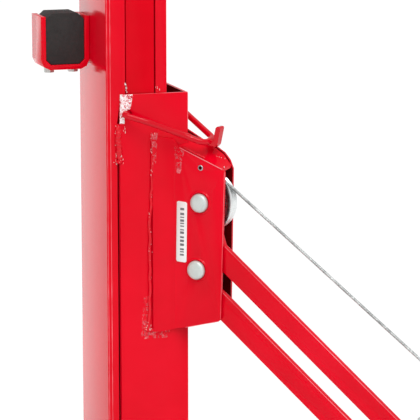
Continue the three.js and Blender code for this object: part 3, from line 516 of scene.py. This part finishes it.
def rope_lift():
    """Over the sheave, then down the duct to the inner mast's lug."""
    lug = mast(72, 12, 0)
    wrap = []
    leave = math.atan2(ROPE_OUT.z, ROPE_OUT.x)
    for step in range(WRAP_STEPS + 1):
        a = leave + (math.pi - leave) * step / WRAP_STEPS
        x = UPPER[0] + ROPE_PITCH_R * math.cos(a)
        wrap.append(at(x, SHEAVE_Y, UPPER[1] + ROPE_PITCH_R * math.sin(a)))
    wrap.append(at(UPPER[0] - ROPE_PITCH_R - 1.2, SHEAVE_Y, UPPER[1] - 60))
    wrap.append(Vector((lug.x, lug.y, 0.272)))
    wrap.append(Vector((lug.x, lug.y, 0.236)))
    wire_rope("rope_lift_strands", wrap, "mast", "rope_lift")


rope_run()
rope_lift()

# ------------------------------------------------------------------ latch bail
BAIL_X, BAIL_Z = 13.8, 1198.0


def bail():
    """Bent rod that pivots in the cover."""
    bm = bmesh.new()
    pts = [
        at(BAIL_X, -42.6, BAIL_Z), at(BAIL_X, -53.2, BAIL_Z), at(35.8, -46.2, BAIL_Z - 6), at(66, -17, 1175),
        at(84, -12, 1168.5), at(85, 7, 1170.3), at(BAIL_X, 53.2, BAIL_Z), at(BAIL_X, 40.2, BAIL_Z),
    ]
    tube(bm, rounded_path(pts, 8 * MM, 10), ROD_R * MM, 24)
    obj = finish_object("latch_bail_rod", bm, RED_GLOSS, "bail", 50)
    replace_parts(obj, "latch_bail")


bail()


def plate_xz(name, outline, y0, y1, mat, body, bevel=0.8, segments=3):
    """Flat plate from an x, z outline in millimetres between two y values."""
    bm = bmesh.new()
    low = [bm.verts.new(at(x, y0, z)) for x, z in outline]
    high = [bm.verts.new(at(x, y1, z)) for x, z in outline]
    bm.faces.new(low)
    bm.faces.new(high[::-1])
    for i in range(len(outline)):
        j = (i + 1) % len(outline)
        bm.faces.new((low[i], high[i], high[j], low[j]))
    bmesh.ops.recalc_face_normals(bm, faces=bm.faces)
    return finish_object(name, bm, mat, body, 30, bevel * MM, segments)


TAB = [
    (84, 1165), (92, 1163.8), (94.4, 1166.4), (97.9, 1183), (97.5, 1184.4), (96.6, 1184.8), (94.1, 1184.8),
    (93, 1184.2), (92.4, 1183), (89.6, 1170.6), (84, 1171.4),
]
plate_xz("latch_bail_tab", TAB, -5, 5, RED_GLOSS, "bail", 1.0)


# ------------------------------------------------------------------ sheave housing and its welds
def housing_top():
    """Cap plate on the slope between the side plates; its end follows the mast's rear corner."""
    near = ((48, 1164.0), (63, 1158.6), (103, 1143.4))
    far = ((48, 1177.2), (63, 1170.2), (73.5, 1165.2), (86, 1160.6), (95, 1155), (103, 1145))
    half, thick, across, along = 9.7, 3.0, 10, 44

    def height(table, x):
        for (x0, z0), (x1, z1) in zip(table, table[1:]):
            if x <= x1:
                return z0 + (z1 - z0) * (x - x0) / (x1 - x0)
        return table[-1][1]

    bm = bmesh.new()
    rings = []
    for i in range(along + 1):
        upper, lower = [], []
        for k in range(across + 1):
            y = -half + 2 * half * k / across
            start = CORNER_X + 0.7 - abs(y)
            x = start + (103 - start) * i / along
            share = k / across
            z = height(near, x) * (1 - share) + height(far, x) * share
            upper.append(bm.verts.new(at(x, y, z)))
            lower.append(bm.verts.new(at(x, y, z - thick)))
        rings.append(upper + lower[::-1])
    for a, b in zip(rings, rings[1:]):
        for k in range(len(a)):
            n = (k + 1) % len(a)
            bm.faces.new((a[k], b[k], b[n], a[n]))
    bm.faces.new(rings[0])
    bm.faces.new(rings[-1][::-1])
    bmesh.ops.recalc_face_normals(bm, faces=bm.faces)
    obj = finish_object("housing_top_plate", bm, RED, "mast", 40)
    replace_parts(obj, "housing_top")


housing_top()


def darken_inside(name, test):
    """Painted shade: faces inside, out of the light, get a near-black copy of the red."""
    obj = bpy.data.objects[name]
    obj.data.materials.append(RED_INNER_SHADE)
    for poly in obj.data.polygons:
        if test(obj.matrix_world @ poly.center, poly.normal):
            poly.material_index = 1


COVER_MID = mast(69, 45, 0)
COVER_BEND = at(58, 0, 0)


def in_duct(centre, normal):
    """True for the cover's walls that face the duct, away from the bend's own line."""
    inward = Vector((COVER_MID.x - centre.x, COVER_MID.y - centre.y, 0))
    off_bend = Vector((centre.x - COVER_BEND.x, centre.y, 0)).length
    return abs(normal.z) < 0.5 and normal.dot(inward) > 0 and off_bend > 4 * MM


# painted shade on the housing plates' inner faces, the cap's underside and the duct's walls
darken_inside("housing_far_skin", lambda c, n: n.y < -0.5 and c.y < PLATE_INNER)
darken_inside("housing_near_skin", lambda c, n: n.y > 0.5 and c.y > -PLATE_INNER)
darken_inside("housing_top_plate", lambda c, n: n.z < -0.3)
darken_inside("cable_cover_skin", in_duct)


def shade_strip(name, u0, u1, z0, z1, taper=0.0):
    """Thin dark upright strip of painted shade on the post's near face; taper narrows it from the left
    towards its top.
    """
    bm = bmesh.new()
    rings = []
    steps = 40
    for i in range(steps + 1):
        z = z0 + (z1 - z0) * i / steps
        wander = 0.18 * noise.noise(Vector((0, 0, z * 0.05)))
        left = min(u0 + taper * i / steps, u1 - 0.1)
        corners = ((left, -0.35), (u1, -0.35), (u1, -0.05), (left, -0.05))
        rings.append([bm.verts.new(mast(u + wander, v, z)) for u, v in corners])
    close_rings(bm, rings)
    bmesh.ops.recalc_face_normals(bm, faces=bm.faces)
    return finish_object(name, bm, GAP_SHADE, "mast", 35)


# the shadow gap along the cover's left edge, below and above the corner weld
shade_strip("cover_edge_gap", 11.3, 12.5, 171, 1163)
shade_strip("cover_notch_gap", 11.4, 13.3, 1188, 1206, 2.2)


def oil_hole():
    """Bright pressed eyelet, with a dark disc in its bore as painted shade."""
    eyelet = [(1.85, -13.5), (2.0, -13.75), (2.35, -13.75), (2.75, -13.45), (2.9, -13.02), (1.85, -13.02)]
    lathe_y("oil_hole_eyelet", eyelet, *OIL_HOLE, STEEL, "mast", "steel", 40, 50)
    bore = [(0.0, -13.3), (1.82, -13.3), (1.82, -13.04), (0.0, -13.04)]
    lathe_y("oil_hole_bore", bore, *OIL_HOLE, GAP_SHADE, "mast", "steel", 24, 50)


oil_hole()

FACE_V = -3.55  # v of the cover's near wall, just outside its paint


def on_cover(u, z, lift=0.0):
    """Place on the cover's near wall."""
    return mast(u, FACE_V - lift, z)


# fillet along the housing flange's free edge, wandering as it was laid by hand
FLANGE_WELD = [
    (47.0, 1176), (46.2, 1150), (45.6, 1128), (44.8, 1104), (43.6, 1092), (43.4, 1060), (43.2, 1030),
    (42.8, 1000), (41.4, 975),
]
weld("flange_weld", [on_cover(u, z, 1.0) for u, z in FLANGE_WELD], 1.6, 3, 3.2, 0.9)
# corner fillet that closes the cover's edge on the post
CORNER_WELD = [(13.4, 1187), (12.6, 1180), (12.2, 1170), (12.8, 1158), (12.6, 1148)]
weld("corner_weld", [mast(u, -0.6, z) for u, z in CORNER_WELD], 3.4, 5, 3.6, 0.8)
weld("corner_weld_blob", [mast(12.9, -1.2, 1151.5), mast(12.5, -1.2, 1147)], 3.6, 6, 6.0, 0.4)


def highlight_line(name, points, radius=0.42):
    """Painted highlight along a sheet edge: a thin tube of paler red."""
    path = resample(points, 2.0 * MM)
    radii = [radius * MM * (0.75 + 0.5 * noise.noise(p * 90)) for p in path]
    bm = bmesh.new()
    tube(bm, path, radii, 8)
    return finish_object(name, bm, RED_EDGE_HIGHLIGHT, "mast", 60)


# painted highlights along the housing plate's and the cover's edges
highlight_line("housing_near_top_edge", [at(56.5, -12.9, 1162.1), at(104.2, -12.9, 1143.7)], 0.55)
highlight_line("housing_near_end_edge", [at(106.8, -12.9, 1141.0), at(102.5, -12.9, 991)], 0.3)
highlight_line("housing_near_lower_edge", [at(100.4, -12.9, 988.1), at(63, -12.9, 977.8)], 0.35)
highlight_line("cover_top_edge", [mast(17, -3.1, 1217), mast(84, -3.1, 1217)], 0.35)
highlight_line("cover_corner_edge", [mast(84.0, -3.2, 1216), mast(84.0, -3.2, 1180)], 0.4)
ARM_DROP = math.radians(39.4)
SLOPE = Vector((math.cos(ARM_DROP), 0, -math.sin(ARM_DROP)))
SLOPE_UP = Vector((-SLOPE.z, 0, SLOPE.x))
ARM_END_X = 440
ARM_T = 5.8
# painted highlights along the arms' top edges, front and rear
for tag, (lx, lz), depth in (("upper", (103.5, 1052.7), 21.5), ("lower", (101.1, 1003.9), 23.5)):
    mid = at(lx, -9.4, lz) + SLOPE_UP * (depth / 2 - 0.1) * MM
    length = (ARM_END_X - lx) / SLOPE.x - 8
    highlight_line(f"{tag}_arm_edge", [mid - SLOPE * 6 * MM, mid + SLOPE * length * MM], 0.42)
    rear = mid + Vector((0, ARM_T * MM, 0))
    highlight_line(f"{tag}_arm_rear_edge", [rear - SLOPE * 6 * MM, rear + SLOPE * length * MM], 0.3)
# painted highlights along the post's rounded corner
for tag, u, r in (("outer", 1.2, 0.4), ("inner", 4.5, 0.45)):
    highlight_line(f"post_corner_{tag}_line", [mast(u, 0.05, POST_BOTTOM), mast(u, 0.05, POST_TOP)], r)


def spatter(name, spots, size, seed):
    """Small beads thrown off by welding; their near-white colour is a painted glint."""
    rng = random.Random(seed)
    bm = bmesh.new()
    for p in spots:
        r = size * MM * rng.uniform(0.45, 1.1)
        stretch = (rng.uniform(0.7, 1.3), rng.uniform(0.7, 1.3), rng.uniform(0.8, 3.4), 1)
        place = Matrix.Translation(p) @ Matrix.Diagonal(stretch)
        bmesh.ops.create_icosphere(bm, subdivisions=1, radius=r, matrix=place)
    return finish_object(name, bm, SPATTER_GLINT, "mast", 60)


def along_weld(table, count, seed, v, spread_u, spread_z=0.0):
    """Random places near a line of (u, z) points."""
    rng = random.Random(seed)
    spots = []
    for _ in range(count):
        t = rng.random() * (len(table) - 1)
        i = int(t)
        (u0, z0), (u1, z1) = table[i], table[i + 1]
        f = t - i
        u = u0 + (u1 - u0) * f + rng.gauss(0, spread_u)
        z = z0 + (z1 - z0) * f + rng.gauss(0, spread_z)
        spots.append(mast(u, v, z))
    return spots


spatter("flange_weld_spatter", along_weld(FLANGE_WELD, 70, 11, -5.6, 0.8), 0.30, 12)
spatter("flange_weld_top_spatter", along_weld([(48, 1177), (47, 1156)], 40, 13, -5.8, 1.9, 2.0), 0.36, 14)
spatter("flange_weld_foot_spatter", along_weld([(39, 979), (53, 976)], 36, 15, -5.0, 2.5, 2.0), 0.34, 16)
spatter("corner_weld_spatter", along_weld([(9.6, 1186), (9.4, 1147)], 26, 17, -1.4, 0.7), 0.34, 18)
spatter("corner_weld_right_spatter", along_weld([(18.0, 1186), (18.6, 1176)], 10, 19, -4.0, 0.6), 0.34, 20)
spatter("corner_blob_spatter", along_weld([(14, 1156), (16.5, 1147)], 8, 25, -4.0, 0.6), 0.30, 26)
spatter("cover_top_spatter", along_weld([(19.5, 1229), (21.5, 1219)], 12, 21, -0.2, 0.5), 0.42, 22)
spatter("duct_weld_spatter", along_weld([(52, 1223), (54, 1220)], 5, 23, -0.2, 0.8), 0.36, 24)
CAP_SPOTS = [(93, -2, 1154.6), (95, -1, 1153.9), (97, 0, 1153.2), (99.5, 3, 1152.0), (103, -6, 1144.8)]
spatter("cap_spatter", [at(*spot) for spot in CAP_SPOTS], 0.55, 28)


def rubbed():
    """Handling rub: paler, see-through streaks over the paint."""
    mat, tree, bsdf = new_material("rubbed_haze")
    field = noise_tex(tree, 210.0, 5.0, 0.7, 0.8)
    tint = [(0.35, (0.80, 0.03, 0.06)), (0.65, (0.86, 0.20, 0.23))]
    link(tree, ramp(tree, field, tint), bsdf.inputs["Base Color"])
    link(tree, ramp(tree, field, [(0.46, grey(0.0)), (0.62, grey(0.80))]), bsdf.inputs["Alpha"])
    bsdf.inputs["Roughness"].default_value = 0.5
    bumped(tree, bsdf, field, 0.3, 0.0004)
    return mat


RUBBED = rubbed()


def sheet_of(bm, grid):
    """Faces between the rows of a grid of vertices."""
    for upper, lower in zip(grid, grid[1:]):
        for k in range(len(upper) - 1):
            bm.faces.new((upper[k], upper[k + 1], lower[k + 1], lower[k]))
    bmesh.ops.recalc_face_normals(bm, faces=bm.faces)


def haze(name, corners, cuts=14):
    """Thin ragged film between four corner points."""
    a, b, c, d = corners
    bm = bmesh.new()
    grid = []
    for i in range(cuts + 1):
        t = i / cuts
        row = []
        for k in range(cuts + 1):
            w = k / cuts
            p = (a.lerp(b, w)).lerp(d.lerp(c, w), t)
            rag = (abs(w - 0.5) * 2) ** 2
            p = p + (b - a) * (0.10 * rag * noise.noise(p * 260))
            row.append(bm.verts.new(p))
        grid.append(row)
    sheet_of(bm, grid)
    return finish_object(name, bm, RUBBED, "mast", 60)


PLATE_RUB = -13.25
haze("bend_rub", [
    at(50.5, PLATE_RUB, 1163.5), at(61.5, PLATE_RUB, 1159.0),
    at(57.0, PLATE_RUB, 1136.0), at(53.0, PLATE_RUB, 1136.0),
])
COVER_RUBS = {
    "flange_top_rub": (-7.1, ((44, 1178), (51.5, 1178), (49, 1146), (46, 1146))),
    "flange_foot_rub": (-3.75, ((37, 1010), (42, 1010), (44, 969), (34, 969))),
    "foot_rub": (-3.75, ((38, 976), (64, 976), (62, 966), (37, 966))),
}
for rub_name, (rub_v, rub_corners) in COVER_RUBS.items():
    haze(rub_name, [mast(u, rub_v, z) for u, z in rub_corners])

PATCH_TOP, PATCH_HEIGHT = 1217.2, 29.5
PATCH_STEP = 1202.5  # the patch narrows below this height
PATCH_ROWS, PATCH_COLS = 46, 16


def patch_sides(z):
    """Ragged left and right limits of the patch, as u."""
    fallen = PATCH_TOP - z
    if z > PATCH_STEP:
        right = 27.0 - 2.6 * fallen / 14.7
    else:
        right = 24.4 - 6.2 * min(1.0, (PATCH_STEP - z) / 2.5)
    left = 14.2 - 1.0 * fallen / PATCH_HEIGHT
    right += 0.7 * noise.noise(Vector((0, 0, z * 0.7)))
    left += 0.4 * noise.noise(Vector((4, 0, z * 0.8)))
    return left, right


def ground_patch():
    """Ragged bare weld patch at the cover's top left corner, which runs down to the post past the sheet."""
    bm = bmesh.new()
    grid = []
    for i in range(PATCH_ROWS + 1):
        z = PATCH_TOP - PATCH_HEIGHT * i / PATCH_ROWS
        left, right = patch_sides(z)
        sheet_edge = COVER_LEFT + NOTCH_LEAN * max(0.0, z - NOTCH_FOOT) / NOTCH_HEIGHT
        row = []
        for k in range(PATCH_COLS + 1):
            u = left + (right - left) * k / PATCH_COLS
            edge = min(k, PATCH_COLS - k, i, PATCH_ROWS - i) / 2
            lift = min(1.0, edge) * (0.55 + 0.55 * noise.noise(Vector((u * 0.9, 3, z * 0.9))))
            down = min(1.0, max(0.0, sheet_edge - u) / 2.0)
            row.append(bm.verts.new(mast(u, (FACE_V + 0.35 - lift) * (1 - 0.75 * down), z)))
        grid.append(row)
    sheet_of(bm, grid)
    obj = finish_object("ground_weld", bm, GROUND_WELD_GLINT, "mast", 60)
    if obj.data.polygons[0].normal.dot(Vector((1, -1, 0))) < 0:
        obj.data.flip_normals()


ground_patch()
FOOT_WELD = [(36, 977), (42, 974.5), (50, 976), (58, 977)]
weld("flange_foot_weld", [on_cover(u, z, 0.8) for u, z in FOOT_WELD], 1.5, 9, 3.0, 0.9)
CAP_WELD = [(59, -11.6, 1163.6), (66, -10.8, 1160.2), (76, -10.6, 1156.2), (84, -10.6, 1153.2)]
weld("cap_weld", [at(*place) for place in CAP_WELD], 0.9, 21, 2.2, 0.8)


LABEL_BARS = (1052.0, 1101.0)  # lowest and highest start of a bar
BAR_LEFT, BAR_WIDTH = 57.0, 4.4


def label_marks():
    """Row of generic bars on the sticker, no lettering."""
    rng = random.Random(41)
    bm = bmesh.new()
    z = LABEL_BARS[0]
    while z < LABEL_BARS[1]:
        height = rng.choice((1.2, 1.8, 2.4))
        lean = (z - 1046) / 61 * 0.6
        x0 = BAR_LEFT + lean
        x1 = BAR_LEFT + BAR_WIDTH + lean
        outline = ((x0, z), (x1, z), (x1, z + height), (x0, z + height))
        low = [bm.verts.new(at(x, -13.70, zz)) for x, zz in outline]
        high = [bm.verts.new(at(x, -13.60, zz)) for x, zz in outline]
        bm.faces.new(low)
        bm.faces.new(high[::-1])
        for k in range(4):
            n = (k + 1) % 4
            bm.faces.new((low[k], high[k], high[n], low[n]))
        z += height + rng.choice((1.1, 1.6, 2.6))
    bmesh.ops.recalc_face_normals(bm, faces=bm.faces)
    finish_object("label_bars", bm, PRINT, "mast", 30)


label_marks()


def zinc_screws():
    """Plated screw heads under the rest bracket."""
    obj = bpy.data.objects["rest_bracket_skin"]
    obj.data.materials.append(ZINC)
    for poly in obj.data.polygons:
        if poly.center.z < 1.2357:
            poly.material_index = 1


zinc_screws()


# ------------------------------------------------------------------ round parts of the rest of the crane
TREAD_BLOCKS = 72  # blocks and gaps counted together round the tyre


def wheel(node):
    """Treaded tyre on a dished hub."""
    lo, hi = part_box(node)
    cx, cy, cz = (lo + hi) / 2
    x = (cx - SHIFT) / MM
    y, z = cy / MM, cz / MM
    r = (hi.z - lo.z) / 2 / MM
    w = 13.0

    def tread(angle, radius, yy):
        gap = int(angle / (2 * math.pi) * TREAD_BLOCKS) % 2 == 0
        return -0.5 if radius > 38 and gap and abs(yy - y) > 6.5 else 0.0

    tyre = [
        (29.5, y - w + 1), (33, y - w), (36.5, y - w), (39.0, y - w + 2.2), (r, y - w + 6), (r, y + w - 6),
        (39.0, y + w - 2.2), (36.5, y + w), (33, y + w), (29.5, y + w - 1),
    ]
    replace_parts(lathe_y(f"{node}_tyre", tyre, x, z, TYRE, node, "tyre", 144, 38, tread), node)
    hub = [
        (6.0, y - w - 1.3), (10.2, y - w - 1.3), (11.2, y - w - 0.4), (12.4, y - w + 3.4),
        (24.5, y - w + 4.2),
        (26.4, y - w + 1.0), (29.4, y - w + 0.8), (29.4, y + w - 0.8), (26.4, y + w - 1.0),
        (24.5, y + w - 4.2), (12.4, y + w - 3.4), (11.2, y + w + 0.4), (10.2, y + w + 1.3),
        (6.0, y + w + 1.3),
    ]
    lathe_y(f"{node}_hub", hub, x, z, BLACK, node, "black_plastic", 64, 38)


for end in ("front", "rear"):
    for side in ("near", "far"):
        wheel(f"wheel_{end}_{side}")


def crank_grip():
    """Turned plastic handle, swollen towards its middle."""
    lo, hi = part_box("crank_grip")
    middle = (lo + hi) / 2
    y0 = lo.y / MM
    outline = [
        (5.5, 0), (11.4, 0), (12.4, 1), (14.4, 6), (13.4, 14), (13.2, 22), (14.4, 36), (15.4, 50), (15.5, 62),
        (14.6, 78), (13.2, 91), (13.9, 98), (13.2, 101.6), (11.0, 103), (5.5, 103),
    ]
    profile = [(r, y0 + along) for r, along in outline]
    x, z = (middle.x - SHIFT) / MM, middle.z / MM
    piece = lathe_y("crank_grip_turned", profile, x, z, BLACK, "grip", "black_plastic", 48, 38)
    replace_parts(piece, "crank_grip")


crank_grip()

DRUM_ROPE_R = 22.0 + 0.3 + 1.6  # drum, clearance and half a rope
COIL_PITCH = 3.25
COIL_STEPS = 36  # points in a turn


def coil():
    """Rope wound on the drum, turn beside turn."""
    lo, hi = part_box("rope_coil")
    middle = (lo + hi) / 2
    y0, y1 = lo.y / MM, hi.y / MM
    turns = int((y1 - y0 - 3.2) / COIL_PITCH)
    pts = []
    for i in range(turns * COIL_STEPS + 1):
        a = 2 * math.pi * i / COIL_STEPS
        y = y0 + 1.62 + COIL_PITCH * i / COIL_STEPS
        reach = DRUM_ROPE_R * MM
        pts.append(Vector((middle.x + reach * math.cos(a), y * MM, middle.z + reach * math.sin(a))))
    wire_rope("rope_coil_strands", pts, "drum_unit", "rope_coil", lay=16.0)


coil()
skin("hook", STEEL, 0.5, 2)

# ------------------------------------------------------------------ floor, light, camera
scene = bpy.context.scene


def floor():
    """Pale plain floor that reaches past every view."""
    bm = bmesh.new()
    half = 400.0
    outline = ((-half, -half), (half, -half), (half, half), (-half, half))
    bm.faces.new([bm.verts.new((x, y, -0.5 * MM)) for x, y in outline])
    mesh = bpy.data.meshes.new("floor")
    bm.to_mesh(mesh)
    bm.free()
    mat, tree, bsdf = new_material("floor_pale")
    bsdf.inputs["Base Color"].default_value = (0.93, 0.93, 0.93, 1)
    bsdf.inputs["Roughness"].default_value = 0.9
    bsdf.inputs["Specular IOR Level"].default_value = 0.1
    mesh.materials.append(mat)
    obj = bpy.data.objects.new("floor", mesh)
    scene.collection.objects.link(obj)


floor()

world = bpy.data.worlds.new("studio")
scene.world = world
world.use_nodes = True
world.node_tree.nodes["Background"].inputs["Color"].default_value = (1, 1, 1, 1)
world.node_tree.nodes["Background"].inputs["Strength"].default_value = 0.62


HEAD = at(58, 0, 1100)


def left_panel():
    """Soft panel that lights the post's left face."""
    data = bpy.data.lights.new("left_panel", "AREA")
    data.shape = "RECTANGLE"
    data.size, data.size_y = 2.6, 3.2
    data.energy = 9
    place = HEAD + Vector((-2.67, 1.36, -0.45))
    obj = bpy.data.objects.new("left_panel", data)
    obj.location = place
    obj.rotation_euler = (HEAD - place).to_track_quat("-Z", "Y").to_euler()
    scene.collection.objects.link(obj)


def sun(name, direction, strength, spread):
    """Distant lamp that shines from a direction."""
    data = bpy.data.lights.new(name, "SUN")
    data.energy = strength
    data.angle = math.radians(spread)
    obj = bpy.data.objects.new(name, data)
    obj.location = HEAD + Vector(direction) * 3
    obj.rotation_euler = Vector(direction).to_track_quat("Z", "Y").to_euler()
    scene.collection.objects.link(obj)


left_panel()
sun("overhead", (0.35, -0.42, 0.84), 1.7, 50)
sun("spark", (0.40, -0.43, 0.81), 0.22, 7)

CAM_AZ, CAM_EL = math.radians(27.0), math.radians(11.0)
CAM_TARGET = at(90.6, -12.7, 1101.52)
CAM_DISTANCE = 2.4
camera = bpy.data.objects.new("camera", bpy.data.cameras.new("camera"))
scene.collection.objects.link(camera)
scene.camera = camera
back = Vector((math.sin(CAM_AZ) * math.cos(CAM_EL), -math.cos(CAM_AZ) * math.cos(CAM_EL), math.sin(CAM_EL)))
camera.location = CAM_TARGET + back * CAM_DISTANCE
camera.rotation_euler = (-back).to_track_quat("-Z", "Y").to_euler()
camera.data.lens = 205.714
camera.data.clip_start, camera.data.clip_end = 0.05, 200

scene.view_settings.view_transform = "Standard"
